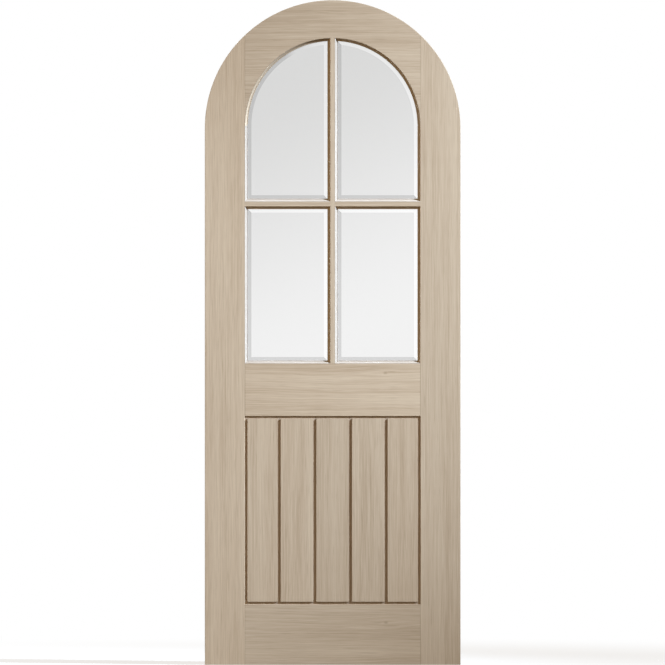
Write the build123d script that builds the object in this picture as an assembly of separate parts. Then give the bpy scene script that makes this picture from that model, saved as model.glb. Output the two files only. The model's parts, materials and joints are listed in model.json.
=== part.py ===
from build123d import *
from collections import namedtuple
from math import cos, radians, sin, sqrt
import os

# An internal door leaf in oak with a semicircular head.
# Two stiles, an arched head rail, a middle rail and a bottom rail are joined by slip tenons.
# The upper opening holds four bevelled panes between a crossed pair of glazing bars,
# and each pane sits between mitred beads. Five tongued and grooved boards fill the lower
# opening, flush with the frame, with a shallow channel round the face of each.
# Millimetres. X runs to the right seen from the front, Z is up, the front face looks to -Y,
# and the origin is the middle of the bottom edge.

# Leaf
leaf_width = 762.0
leaf_height = 1981.0
leaf_thickness = 35.0
leaf_arris = 1.0

# Frame members
stile_width = 119.0
crown_width = 112.0
mid_rail_top = 898.0
mid_rail_height = 156.5
bottom_rail_height = 180.0
horn_tip = 0.6

# Glazing bars, halved over each other where they cross
bar_face = 13.0
top_light_height = 488.5
bar_tenon_length = 12.0
bar_tenon_thickness = 12.0
mortice_clearance = 0.1
mortice_end_gap = 1.0

# Glass, its bedding and the packers that carry it
glass_thickness = 5.0
glass_gap = 1.5
bevel_width = 18.0
bevel_depth = 2.0
bed_thickness = 1.0
bed_width = 7.0
packer_length = 30.0
packer_inset = 45.0

# Beads: a narrow flat, a chamfer, a flat nose with its edge taken off, and a wall to the glass
bead_width = 9.0
bead_flat = 0.8
bead_chamfer_width = 5.4
bead_chamfer_depth = 6.0
bead_nose_arris = 0.6
bead_arch_clearance = 0.15

# Panel boards, rebated round both faces so that a channel shows between them and at the frame
board_count = 5
board_cover = 106.2
channel_width = 9.0
border_channel_width = 8.0
channel_depth = 3.0
panel_arris = 0.6
tongue_length = 9.0
tongue_thickness = 10.0
groove_side_clearance = 0.1
groove_end_gap = 1.0

# Slip tenons: loose pieces glued into a mortice on each side of a joint
tenon_thickness = 12.0
tenon_shoulder = 26.0
tenon_edge_gap = 0.5
tenon_end_gap = 1.0
rail_tenon_length = 120.0
head_tenon_length = 60.0
head_tenon_height = 70.0
head_tenon_drop = 57.0

# Brads: flat pins driven through the back beads
brad_width = 1.2
brad_thickness = 1.0
brad_length = 14.0
brad_clearance = 0.05
brad_sink = 0.5
brad_inset = 60.0
brad_depth_from_face = 10.5
arch_brad_angles = (20.0, 48.0, 76.0)

# Derived places
half_width = leaf_width / 2
half_thickness = leaf_thickness / 2
half_bar = bar_face / 2
leaf_springing = leaf_height - half_width
opening_half = half_width - stile_width
opening_springing = leaf_height - crown_width - opening_half
panel_bottom = bottom_rail_height
opening_crown = opening_springing + opening_half
panel_top = mid_rail_top - mid_rail_height
cross_bar_high = opening_crown - top_light_height
cross_bar_low = cross_bar_high - bar_face
front_bead_depth = half_thickness - glass_thickness / 2 - bed_thickness
back_bead_depth = half_thickness - glass_thickness / 2
FRONT = -1
BACK = 1

Edge = namedtuple("Edge", "name start end inner_start inner_end")


# Drawing helpers

def rectangle(x0, z0, x1, z1):
    """A rectangle in front view, from two opposite corners."""
    return Pos((x0 + x1) / 2, (z0 + z1) / 2) * Rectangle(x1 - x0, z1 - z0)


def slab(sketch, y0=-half_thickness, y1=half_thickness):
    """A sketch drawn in front view, made solid between two depths."""
    return extrude(Plane.XZ.offset(-y1) * sketch, amount=y1 - y0)


def block(x0, x1, y0, y1, z0, z1):
    """A square-edged block between three pairs of coordinates."""
    return slab(rectangle(x0, z0, x1, z1), y0, y1)


def arched(half, bottom, springing):
    """A front view outline with straight sides and a semicircular head."""
    return rectangle(-half, bottom, half, springing) + Pos(0, springing) * Circle(half)


def past(point, other):
    """A point a little beyond the first, on the line that comes from the second."""
    reach = 0.25
    return tuple(a + (a - b) * reach for a, b in zip(point, other))


def mirrored(solid):
    """The right-hand copy of a left-hand piece."""
    return mirror(solid, about=Plane.YZ)


def group(pieces):
    """Separate solids kept together as one node."""
    return Compound([solid for piece in pieces for solid in piece.solids()])


# Frame

def leaf_blank():
    """The whole leaf as one solid, with its arris round both faces."""
    blank = slab(arched(half_width, 0, leaf_springing))
    rims = blank.faces().sort_by(Axis.Y)[0].edges() + blank.faces().sort_by(Axis.Y)[-1].edges()
    return chamfer(rims, leaf_arris)


def panel_splay(face):
    """The mitred arris that the frame has round the panel on one face, as a cutter."""
    panel = rectangle(-opening_half, panel_bottom, opening_half, panel_top)
    plane = Plane(origin=(0, face * (half_thickness - panel_arris), 0), x_dir=(-face, 0, 0),
                  z_dir=(0, face, 0))
    return extrude(plane * panel, amount=panel_arris, taper=-45)


def panel_ploughs():
    """The grooves round the panel opening that take the tongues of the boards."""
    depth = tongue_length + groove_end_gap
    half = tongue_thickness / 2 + groove_side_clearance
    upright = block(-opening_half - depth, opening_half + depth, -half, half,
                    panel_bottom, panel_top)
    level = block(-opening_half, opening_half, -half, half, panel_bottom - depth,
                  panel_top + depth)
    return [upright, level]


def bar_mortices():
    """The pockets for the stub tenons at the four ends of the glazing bars."""
    side = half_bar + mortice_clearance
    cheek = bar_tenon_thickness / 2 + mortice_clearance
    depth = bar_tenon_length + mortice_end_gap
    upright = block(-side, side, -cheek, cheek, mid_rail_top - depth, opening_crown + depth)
    level = block(-opening_half - depth, opening_half + depth, -cheek, cheek,
                  cross_bar_low - mortice_clearance, cross_bar_high + mortice_clearance)
    return [upright, level]


def tenon_spans():
    """Lowest and highest point of the slip tenons of each rail."""
    corner = leaf_springing + sqrt(half_width ** 2 - opening_half ** 2)
    head_top = corner - head_tenon_drop
    return {
        "head_rail": (head_top - head_tenon_height, head_top),
        "mid_rail": (panel_top + tenon_shoulder, mid_rail_top - tenon_shoulder),
        "bottom_rail": (tenon_shoulder, panel_bottom - tenon_shoulder),
    }


def slip_tenon(side, rail, edge_gap=0.0, end_gap=0.0):
    """A slip tenon across one joint, or its mortice if it is given gaps."""
    low, high = tenon_spans()[rail]
    reach = (head_tenon_length if rail == "head_rail" else rail_tenon_length) / 2 + end_gap
    middle, cheek = side * opening_half, tenon_thickness / 2
    return block(middle - reach, middle + reach, -cheek, cheek, low - edge_gap, high + edge_gap)


def tenon_mortices():
    """The mortices for every slip tenon: tight on the cheeks, with room at edges and ends."""
    return [slip_tenon(side, rail, tenon_edge_gap, tenon_end_gap)
            for rail in tenon_spans() for side in (-1, 1)]


def frame_members():
    """Stiles and rails, each cut from the leaf blank by its own outline."""
    blank = leaf_blank()
    horn_level = opening_springing + sqrt(2 * opening_half * horn_tip - horn_tip ** 2)
    opening = arched(opening_half, mid_rail_top, opening_springing)
    outlines = {
        "left_stile": rectangle(-half_width, 0, -opening_half, leaf_height),
        "right_stile": rectangle(opening_half, 0, half_width, leaf_height),
        "head_rail": rectangle(-opening_half, horn_level, opening_half, leaf_height) - opening,
        "mid_rail": rectangle(-opening_half, panel_top, opening_half, mid_rail_top),
        "bottom_rail": rectangle(-opening_half, 0, opening_half, panel_bottom),
    }
    cutters = [panel_splay(FRONT), panel_splay(BACK)] + panel_ploughs() + bar_mortices()
    cutters += tenon_mortices() + brads(brad_clearance)
    return {name: (blank & slab(outline)) - cutters for name, outline in outlines.items()}


# Glazing bars

def upright_bar():
    """The bar on the centre line. It runs through on the front face at the crossing."""
    body = block(-half_bar, half_bar, -half_thickness, half_thickness, mid_rail_top,
                 opening_crown)
    body &= slab(arched(opening_half, mid_rail_top, opening_springing))
    cheek = bar_tenon_thickness / 2
    tenons = block(-half_bar, half_bar, -cheek, cheek, mid_rail_top - bar_tenon_length,
                   opening_crown + bar_tenon_length)
    halving = block(-half_bar, half_bar, 0, half_thickness, cross_bar_low, cross_bar_high)
    return body + tenons - halving


def cross_bar():
    """The level bar. It runs through on the back face at the crossing."""
    body = block(-opening_half, opening_half, -half_thickness, half_thickness,
                 cross_bar_low, cross_bar_high)
    reach = opening_half + bar_tenon_length
    cheek = bar_tenon_thickness / 2
    tenons = block(-reach, reach, -cheek, cheek, cross_bar_low, cross_bar_high)
    halving = block(-half_bar, half_bar, -half_thickness, 0, cross_bar_low, cross_bar_high)
    return body + tenons - halving


# Lights: the four glazed openings. The left two are drawn and the right two mirrored.

def arch_height(x, radius):
    """Height of the opening's arch, or of a smaller arch on its centre, at a distance x."""
    return opening_springing + sqrt(radius ** 2 - x ** 2)


def light_outline(tier):
    """Front view outline of a left light, up to the bars and the frame."""
    if tier == "bottom":
        return rectangle(-opening_half, mid_rail_top, -half_bar, cross_bar_low)
    opening = arched(opening_half, mid_rail_top, opening_springing)
    return opening & rectangle(-opening_half, cross_bar_high, -half_bar, leaf_height)


def light_corners(tier):
    """Outer and inner corners of a left light's bead frame: jamb foot, bar foot, bar top, jamb top."""
    jamb, bar = -opening_half, -half_bar
    jamb_in, bar_in = jamb + bead_width, bar - bead_width
    if tier == "bottom":
        low, high = mid_rail_top, cross_bar_low
        outer = [(jamb, low), (bar, low), (bar, high), (jamb, high)]
        inner_high = high - bead_width
        inner = [(jamb_in, low + bead_width), (bar_in, low + bead_width), (bar_in, inner_high),
                 (jamb_in, inner_high)]
        return outer, inner
    low = cross_bar_high
    outer = [(jamb, low), (bar, low), (bar, arch_height(bar, opening_half)),
             (jamb, opening_springing)]
    inner = [(jamb_in, low + bead_width), (bar_in, low + bead_width),
             (bar_in, arch_height(bar_in, opening_half - bead_width)),
             (jamb_in, opening_springing)]
    return outer, inner


def straight_edges(tier):
    """The straight edges of a left light, each with its corners."""
    outer, inner = light_corners(tier)
    names = ["sill", "bar", "head", "jamb"] if tier == "bottom" else ["sill", "bar", None, "jamb"]
    edges = []
    for i, name in enumerate(names):
        j = (i + 1) % len(outer)
        if name:
            edges.append(Edge(name, outer[i], outer[j], inner[i], inner[j]))
    return edges


def edge_inward(edge):
    """Unit direction from an edge into its light."""
    return {"sill": Vector(0, 0, 1), "head": Vector(0, 0, -1), "jamb": Vector(1, 0, 0),
            "bar": Vector(-1, 0, 0)}[edge.name]


# Beads

def bead_section(depth, trim=0.0):
    """Section of a bead. X runs from the frame into the light and Y from the face inwards."""
    chamfer_end = bead_flat + bead_chamfer_width
    section = make_face(Polyline((trim, 0), (bead_flat, 0), (chamfer_end, bead_chamfer_depth),
                                 (bead_width, bead_chamfer_depth), (bead_width, depth),
                                 (trim, depth), close=True))
    nose = section.vertices().sort_by_distance((bead_width, bead_chamfer_depth, 0))[0]
    return chamfer(nose, bead_nose_arris)


def section_plane(x, z, inward, face):
    """Where a bead's section is drawn: X into the light, Y inwards from the face."""
    return Plane(origin=(x, face * half_thickness, z), x_dir=inward,
                 z_dir=inward.cross(Vector(0, -face, 0)))


def bead_depth(face):
    """Front beads leave room for the bedding, back beads bear on the glass."""
    return front_bead_depth if face == FRONT else back_bead_depth


def straight_bead(edge, face):
    """A bead along a straight edge, cut to the corners of its light."""
    (x0, z0), (x1, z1) = edge.start, edge.end
    plane = section_plane((x0 + x1) / 2, (z0 + z1) / 2, edge_inward(edge), face)
    length = abs(x1 - x0) + abs(z1 - z0)
    stick = extrude(plane * bead_section(bead_depth(face)), amount=length, both=True)
    corners = [past(edge.start, edge.inner_start), past(edge.end, edge.inner_end),
               past(edge.inner_end, edge.end), past(edge.inner_start, edge.start)]
    return stick & slab(make_face(Polyline(*corners, close=True)))


def arch_bead(face):
    """The curved bead, from the springing to its mitre against the upright bar."""
    plane = section_plane(-opening_half, opening_springing, Vector(1, 0, 0), face)
    section = plane * bead_section(bead_depth(face), bead_arch_clearance)
    axis = Axis((0, 0, opening_springing), (0, 1, 0))
    ring = revolve(section, axis=axis, revolution_arc=90)
    outer, inner = light_corners("top")
    mitre_out, mitre_in = past(outer[2], inner[2]), past(inner[2], outer[2])
    far = -half_width
    keep = make_face(Polyline((far, opening_springing), (far, leaf_height), mitre_out, mitre_in,
                              (mitre_in[0], opening_springing), close=True))
    return ring & slab(keep)


def light_beads(tier, face):
    """The four beads of a left light on one face, by the name of their edge."""
    beads = {edge.name: straight_bead(edge, face) for edge in straight_edges(tier)}
    if tier == "top":
        beads["arch"] = arch_bead(face)
    if face == BACK:
        holes = left_brads(tier, brad_clearance)
        beads = {name: bead - holes for name, bead in beads.items()}
    return beads


# Brads

def brad(x, z, inward, clearance):
    """One brad through a back bead into the frame, or its hole, at a point of the opening's edge."""
    head = bead_width - brad_sink
    start = Vector(x, half_thickness - brad_depth_from_face, z) + inward * head
    section = Rectangle(brad_thickness + 2 * clearance, brad_width + 2 * clearance)
    plane = Plane(origin=start, x_dir=(0, 1, 0), z_dir=inward * -1)
    shank = extrude(plane * section, amount=brad_length)
    if clearance == 0:
        return shank
    return shank + extrude(plane * section, amount=-2 * brad_sink)


def left_brads(tier, clearance=0.0):
    """Brads of a left light: two in each straight bead, and three in the arched one."""
    found = []
    for edge in straight_edges(tier):
        (x0, z0), (x1, z1) = edge.start, edge.end
        run = Vector(x1 - x0, 0, z1 - z0)
        step = run.normalized() * brad_inset
        for place in (Vector(x0, 0, z0) + step, Vector(x1, 0, z1) - step):
            found.append(brad(place.X, place.Z, edge_inward(edge), clearance))
    if tier == "top":
        for angle in arch_brad_angles:
            out = Vector(-cos(radians(angle)), 0, sin(radians(angle)))
            place = Vector(0, 0, opening_springing) + out * opening_half
            found.append(brad(place.X, place.Z, out * -1, clearance))
    return found


def brads(clearance=0.0):
    """Every brad of the four lights, or every hole if a clearance is given."""
    left = left_brads("top", clearance) + left_brads("bottom", clearance)
    return left + [mirrored(solid) for solid in left]


# Glass

def pane(tier):
    """A left pane, with a wide bevel round its front face."""
    outline = offset(light_outline(tier), amount=-glass_gap, kind=Kind.INTERSECTION)
    glass = slab(outline, -glass_thickness / 2, glass_thickness / 2)
    front = glass.faces().sort_by(Axis.Y)[0]
    return chamfer(front.edges(), bevel_width, length2=bevel_depth, reference=front)


def glazing_bed(tier, glass):
    """The bedding between the front beads of a left light and the bevel of its pane."""
    outer = offset(light_outline(tier), amount=-glass_gap, kind=Kind.INTERSECTION)
    inner = offset(outer, amount=-bed_width, kind=Kind.INTERSECTION)
    front = front_bead_depth - half_thickness
    return slab(outer - inner, front, -glass_thickness / 2 + bevel_depth) - glass


def glazing_packers():
    """Two packers under each pane, which carry it on the bar or rail below."""
    found = []
    for low in (mid_rail_top, cross_bar_high):
        for near in (-opening_half + packer_inset, -half_bar - packer_inset - packer_length):
            packer = block(near, near + packer_length, -glass_thickness / 2,
                           glass_thickness / 2, low, low + glass_gap)
            found += [packer, mirrored(packer)]
    return found


# Panel boards

def board_edges():
    """The joint lines between boards, from the left stile to the right one."""
    inner = [(i - board_count / 2) * board_cover for i in range(1, board_count)]
    return [-opening_half] + inner + [opening_half]


def panel_board(index):
    """One board: rebated on both faces, tongued into the frame and its right-hand neighbour."""
    left, right = board_edges()[index:index + 2]
    last = index == board_count - 1
    face_left = left + (border_channel_width if index == 0 else channel_width / 2)
    face_right = right - (border_channel_width if last else channel_width / 2)
    core = half_thickness - channel_depth
    body = block(left, right, -core, core, panel_bottom, panel_top)
    body += block(face_left, face_right, -half_thickness, half_thickness,
                  panel_bottom + border_channel_width, panel_top - border_channel_width)
    cheek = tongue_thickness / 2
    body += block(left, right, -cheek, cheek, panel_bottom - tongue_length,
                  panel_top + tongue_length)
    low = panel_bottom if last else panel_bottom - tongue_length
    high = panel_top if last else panel_top + tongue_length
    body += block(right, right + tongue_length, -cheek, cheek, low, high)
    if index == 0:
        return body + block(left - tongue_length, left, -cheek, cheek, panel_bottom, panel_top)
    slot = cheek + groove_side_clearance
    return body - block(left, left + tongue_length + groove_end_gap, -slot, slot,
                        panel_bottom - tongue_length, panel_top + tongue_length)


# The whole leaf, node by node

def glazed_lights():
    """Glass, bedding and beads of the four lights."""
    nodes = {}
    for tier in ("top", "bottom"):
        glass = pane(tier)
        pieces = {f"glass_{tier}": glass, f"glazing_bed_{tier}": glazing_bed(tier, glass)}
        for name, solid in pieces.items():
            nodes[f"{name}_left"] = solid
            nodes[f"{name}_right"] = mirrored(solid)
        for face, side in ((FRONT, "front"), (BACK, "back")):
            for edge, bead in light_beads(tier, face).items():
                nodes[f"{side}_bead_{tier}_left_{edge}"] = bead
                nodes[f"{side}_bead_{tier}_right_{edge}"] = mirrored(bead)
    return nodes


def all_nodes():
    """Every piece of the leaf, by the name of its node."""
    nodes = frame_members()
    nodes["upright_bar"] = upright_bar() - brads(brad_clearance)
    nodes["cross_bar"] = cross_bar() - brads(brad_clearance)
    for index in range(board_count):
        nodes[f"panel_board_{index + 1}"] = panel_board(index)
    nodes.update(glazed_lights())
    for rail in tenon_spans():
        nodes[f"{rail}_slip_tenon_left"] = slip_tenon(-1, rail)
        nodes[f"{rail}_slip_tenon_right"] = slip_tenon(1, rail)
    nodes["glazing_packers"] = group(glazing_packers())
    nodes["bead_brads"] = group(brads())
    return nodes


os.makedirs("parts", exist_ok=True)
for name, node in all_nodes().items():
    export_step(node, f"parts/{name}.step")
    print(name, round(node.volume))
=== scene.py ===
"""Looks of an arched internal door leaf in pale oak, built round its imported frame.

The joinery is modelled again with smooth arcs and eased edges, and each piece takes the place
of its node: stiles and rails sawn from one arched outline, halved glazing bars, spun and
mitred beads, panes with a ground bevel, and tongued boards. Joinery that no one sees, such as
slip tenons and packers, keeps its own node and gets a finish. Units are metres, X runs to the
right, Z is up, and the front face looks to -Y.
"""

import json
import logging
import math
from collections.abc import Callable, Iterator
from contextlib import contextmanager
from dataclasses import dataclass
from enum import Enum

import bmesh
import bpy
from mathutils import Matrix, Vector

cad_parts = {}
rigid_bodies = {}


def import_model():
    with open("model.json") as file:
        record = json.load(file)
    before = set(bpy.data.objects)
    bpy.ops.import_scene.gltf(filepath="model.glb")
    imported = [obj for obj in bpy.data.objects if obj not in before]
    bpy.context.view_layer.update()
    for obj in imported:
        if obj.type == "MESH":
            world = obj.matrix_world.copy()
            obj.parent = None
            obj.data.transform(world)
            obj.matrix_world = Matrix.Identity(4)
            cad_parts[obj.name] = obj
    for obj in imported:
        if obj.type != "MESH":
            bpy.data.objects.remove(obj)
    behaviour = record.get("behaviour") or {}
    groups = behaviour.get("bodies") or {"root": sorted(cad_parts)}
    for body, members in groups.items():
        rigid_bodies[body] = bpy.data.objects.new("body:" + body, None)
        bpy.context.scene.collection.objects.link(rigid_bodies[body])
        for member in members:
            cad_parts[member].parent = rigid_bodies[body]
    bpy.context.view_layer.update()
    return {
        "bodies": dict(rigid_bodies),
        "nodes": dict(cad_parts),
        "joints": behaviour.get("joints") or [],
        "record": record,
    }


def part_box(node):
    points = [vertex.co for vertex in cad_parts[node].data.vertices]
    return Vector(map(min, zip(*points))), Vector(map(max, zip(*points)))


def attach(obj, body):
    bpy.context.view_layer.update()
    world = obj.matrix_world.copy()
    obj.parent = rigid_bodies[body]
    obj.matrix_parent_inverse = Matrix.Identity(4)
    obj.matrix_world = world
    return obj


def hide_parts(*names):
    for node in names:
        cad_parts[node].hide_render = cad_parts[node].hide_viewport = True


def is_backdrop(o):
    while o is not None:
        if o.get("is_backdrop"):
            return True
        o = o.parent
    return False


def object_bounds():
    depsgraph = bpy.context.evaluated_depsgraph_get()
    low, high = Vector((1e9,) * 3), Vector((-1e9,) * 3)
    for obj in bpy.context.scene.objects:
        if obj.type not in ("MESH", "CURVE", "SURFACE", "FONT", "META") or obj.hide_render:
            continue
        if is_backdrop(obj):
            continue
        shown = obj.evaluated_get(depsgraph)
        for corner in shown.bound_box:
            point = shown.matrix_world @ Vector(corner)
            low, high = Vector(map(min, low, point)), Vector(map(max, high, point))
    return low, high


MM = 0.001
QUARTER_TURN = math.pi / 2
SMOOTH_ANGLE = math.radians(35)
SAME_PLACE = 0.02 * MM
FLAT_ANGLE = math.radians(1)
# How far a cutter, or a block that is joined on, reaches past what it has to
OVERRUN = 1.0 * MM
WHITE = "ffffff"

Piece = bpy.types.Object
Material = bpy.types.Material
Tree = bpy.types.NodeTree
Node = bpy.types.Node
Socket = bpy.types.NodeSocket

log = logging.getLogger("door")


class Face(Enum):
    """The two faces of the leaf. The value is the sign of Y."""

    FRONT = -1
    BACK = 1


class Grain(Enum):
    """Which way the grain runs in a piece of oak."""

    UPRIGHT = "upright"
    LEVEL = "level"
    ROUND_THE_ARCH = "round the arch"


# Workbench: what a maker does to a piece, each through Blender's own operators


def select_only(piece: Piece) -> None:
    """Select one piece and make it active, with everything else deselected.

    Args:
        piece: The object to work on.
    """
    bpy.ops.object.select_all(action="DESELECT")
    piece.select_set(True)
    bpy.context.view_layer.objects.active = piece


@contextmanager
def editing(piece: Piece, elements: str) -> Iterator[None]:
    """Work on a piece in edit mode, and leave edit mode afterwards.

    Args:
        piece: The object to edit.
        elements: VERT, EDGE or FACE, what is selected there.

    Returns:
        A context for a with statement, in which nothing is selected at first.
    """
    select_only(piece)
    bpy.ops.object.mode_set(mode="EDIT")
    bpy.ops.mesh.select_mode(type=elements)
    bpy.ops.mesh.select_all(action="DESELECT")
    try:
        yield
    finally:
        bpy.ops.object.mode_set(mode="OBJECT")


def pick(piece: Piece, elements: str, wanted: Callable[..., bool]) -> None:
    """Select, in edit mode, the elements that pass a test of their place or normal.

    Args:
        piece: The object being edited.
        elements: VERT, EDGE or FACE.
        wanted: The test, given one vertex, edge or face.
    """
    bpy.ops.mesh.select_all(action="DESELECT")
    bpy.ops.mesh.select_mode(type=elements)
    mesh = bmesh.from_edit_mesh(piece.data)
    pool = {"VERT": mesh.verts, "EDGE": mesh.edges, "FACE": mesh.faces}[elements]
    found = [element for element in pool if wanted(element)]
    for element in found:
        element.select_set(True)
    mesh.select_flush_mode()
    bmesh.update_edit_mesh(piece.data)


def settle(piece: Piece) -> None:
    """Move a piece's place, turn and size into its mesh, so that it sits at the origin.

    Args:
        piece: The object to settle.
    """
    select_only(piece)
    bpy.ops.object.transform_apply(location=True, rotation=True, scale=True)


def close_up(piece: Piece) -> None:
    """Merge doubled points and turn every face outwards.

    Args:
        piece: A closed shell.
    """
    with editing(piece, "VERT"):
        bpy.ops.mesh.select_all(action="SELECT")
        bpy.ops.mesh.remove_doubles(threshold=SAME_PLACE)
        bpy.ops.mesh.normals_make_consistent(inside=False)


def block(name: str, low: Vector, high: Vector) -> Piece:
    """A square block between two corners.

    Args:
        name: Name of the new object.
        low: Its lowest corner.
        high: Its highest corner.

    Returns:
        The block, settled at the origin.
    """
    bpy.ops.mesh.primitive_cube_add(size=1, location=(low + high) / 2)
    piece = bpy.context.object
    piece.name = name
    piece.scale = high - low
    settle(piece)
    return piece


def copy_of(piece: Piece, name: str) -> Piece:
    """A copy with a mesh of its own.

    Args:
        piece: The object to copy.
        name: Name of the copy.

    Returns:
        The copy.
    """
    twin = piece.copy()
    twin.data = piece.data.copy()
    twin.name = name
    bpy.context.scene.collection.objects.link(twin)
    return twin


def mirrored(piece: Piece, name: str) -> Piece:
    """The opposite hand of a piece, about the leaf's centre line.

    Args:
        piece: The object to copy.
        name: Name of the copy.

    Returns:
        The mirrored copy, with its faces turned outwards again.
    """
    twin = copy_of(piece, name)
    twin.scale.x = -1
    settle(twin)
    close_up(twin)
    return twin


def extrude(piece: Piece, by: Vector) -> None:
    """Extrude the whole of a flat face into a solid.

    Args:
        piece: An object whose mesh is one flat face.
        by: The way and the distance.
    """
    with editing(piece, "FACE"):
        bpy.ops.mesh.select_all(action="SELECT")
        bpy.ops.mesh.extrude_region_move(TRANSFORM_OT_translate={"value": tuple(by)})
    close_up(piece)


def saw(piece: Piece, point: Vector, normal: Vector) -> None:
    """Cut a solid straight through, and drop what lies on the normal's side.

    Args:
        piece: The solid to cut.
        point: A point of the cut.
        normal: Across the cut, towards the waste.
    """
    with editing(piece, "FACE"):
        bpy.ops.mesh.select_all(action="SELECT")
        bpy.ops.mesh.bisect(plane_co=tuple(point), plane_no=tuple(normal), use_fill=True,
                            clear_outer=True, threshold=SAME_PLACE)
    close_up(piece)


def combine(piece: Piece, others: list[Piece], operation: str) -> None:
    """Join other solids to a piece, or cut them out of it, and use them up.

    Args:
        piece: The solid that stays.
        others: The solids to add or to cut with.
        operation: UNION or DIFFERENCE.
    """
    for other in others:
        select_only(piece)
        bpy.ops.object.modifier_add(type="BOOLEAN")
        step = piece.modifiers[-1]
        step.operation = operation
        step.solver = "EXACT"
        step.object = other
        bpy.ops.object.modifier_apply(modifier=step.name)
        bpy.data.objects.remove(other)


def ease(piece: Piece, wanted: Callable[[bmesh.types.BMEdge], bool], width: float,
         segments: int) -> None:
    """Plane off or round over some edges of a piece.

    Args:
        piece: The solid.
        wanted: Picks the edges.
        width: How far the new faces reach from each edge.
        segments: One for a flat chamfer, more for a rounded edge.
    """
    with editing(piece, "EDGE"):
        pick(piece, "EDGE", wanted)
        bpy.ops.mesh.bevel(offset=width, segments=segments, affect="EDGES")


def soften(piece: Piece, width: float, segments: int = 2) -> None:
    """Sand every edge that is still sharp.

    Args:
        piece: The solid.
        width: How far the rounding reaches from each edge.
        segments: Faces across the rounding.
    """
    select_only(piece)
    bpy.ops.object.modifier_add(type="BEVEL")
    step = piece.modifiers[-1]
    step.width = width
    step.segments = segments
    step.limit_method = "ANGLE"
    step.angle_limit = SMOOTH_ANGLE
    bpy.ops.object.modifier_apply(modifier=step.name)


def fair(piece: Piece) -> None:
    """Shade rounded edges smoothly and keep the flats flat.

    Args:
        piece: The finished mesh.
    """
    select_only(piece)
    bpy.ops.object.shade_smooth_by_angle(angle=SMOOTH_ANGLE)
    bpy.ops.object.modifier_add(type="WEIGHTED_NORMAL")
    step = piece.modifiers[-1]
    step.keep_sharp = True
    bpy.ops.object.modifier_apply(modifier=step.name)


def hand_over(piece: Piece, finish: Material, slot: str, *nodes: str) -> None:
    """Dress a finished piece, seat it on the leaf and let it stand for its nodes.

    Args:
        piece: The finished mesh.
        finish: Its material.
        slot: The record's material slot that it belongs to. It is not used.
        *nodes: The nodes that it stands for.
    """
    piece.data.materials.clear()
    piece.data.materials.append(finish)
    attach(piece, "root")
    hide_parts(*nodes)
    log.info("%s: %d faces, finish %s", piece.name, len(piece.data.polygons), finish.name)


# Sizes, read from the frame


@dataclass(frozen=True)
class LeafSizes:
    """The leaf's governing sizes in metres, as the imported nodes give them.

    Only tongue_half, half the width of the grooves that take the boards' tongues, isn't the
    size of any node's box.
    """

    half_width: float
    height: float
    half_thickness: float
    opening_half: float
    arch_springing: float
    horn_level: float
    mid_low: float
    mid_high: float
    panel_low: float
    bar_half: float
    cross_low: float
    cross_high: float
    bead_width: float
    front_bead_depth: float
    back_bead_depth: float
    tenon_reach: float
    tenon_half: float
    tongue: float
    board_joints: tuple[float, ...]
    tongue_half: float = 5.0 * MM

    @classmethod
    def from_frame(cls, board_count: int = 5) -> "LeafSizes":
        """Measure the nodes.

        Args:
            board_count: How many boards the panel has.

        Returns:
            The sizes.
        """
        low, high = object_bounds()
        opening_half = -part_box("left_stile")[1].x
        mid_low, mid_high = (corner.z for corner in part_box("mid_rail"))
        cross_low, cross_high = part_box("cross_bar")
        front_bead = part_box("front_bead_top_left_jamb")
        back_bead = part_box("back_bead_top_left_jamb")
        tongue = -opening_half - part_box("panel_board_1")[0].x
        joints = [-opening_half]
        joints += [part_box(f"panel_board_{i}")[1].x - tongue for i in range(1, board_count)]
        return cls(
            half_width=high.x,
            height=high.z,
            half_thickness=high.y,
            opening_half=opening_half,
            arch_springing=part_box("front_bead_top_left_arch")[0].z,
            horn_level=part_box("head_rail")[0].z,
            mid_low=mid_low,
            mid_high=mid_high,
            panel_low=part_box("bottom_rail")[1].z,
            bar_half=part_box("upright_bar")[1].x,
            cross_low=cross_low.z,
            cross_high=cross_high.z,
            bead_width=front_bead[1].x - front_bead[0].x,
            front_bead_depth=front_bead[1].y - front_bead[0].y,
            back_bead_depth=back_bead[1].y - back_bead[0].y,
            tenon_reach=cross_high.x - opening_half,
            tenon_half=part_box("mid_rail_slip_tenon_left")[1].y,
            tongue=tongue,
            board_joints=tuple(joints + [opening_half]),
        )

    @property
    def springing(self) -> float:
        """Height at which the leaf's own arch starts."""
        return self.height - self.half_width

    @property
    def crown(self) -> float:
        """Highest point of the glazed opening."""
        return self.arch_springing + self.opening_half

    def arch_height(self, x: float, inset: float = 0.0) -> float:
        """Height of the opening's arch, or of one inside it, at a distance from the middle."""
        return self.arch_springing + math.sqrt((self.opening_half - inset) ** 2 - x * x)

    def bead_depth(self, face: Face) -> float:
        """Depth of the beads on one face of the leaf."""
        return self.front_bead_depth if face is Face.FRONT else self.back_bead_depth


# Finishes


def linear(colour: str, strength: float = 1.0) -> tuple[float, float, float, float]:
    """Turn an sRGB colour into the linear one that shaders take, by the standard's own curve.

    Args:
        colour: Six hex digits.
        strength: Multiplies the linear colour, as a darker or paler sheet of the same wood.

    Returns:
        Red, green, blue and alpha.
    """
    parts = [int(colour[i:i + 2], 16) / 255 for i in (0, 2, 4)]
    line = [p / 12.92 if p <= 0.04045 else ((p + 0.055) / 1.055) ** 2.4 for p in parts]
    return (*(p * strength for p in line), 1.0)


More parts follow.
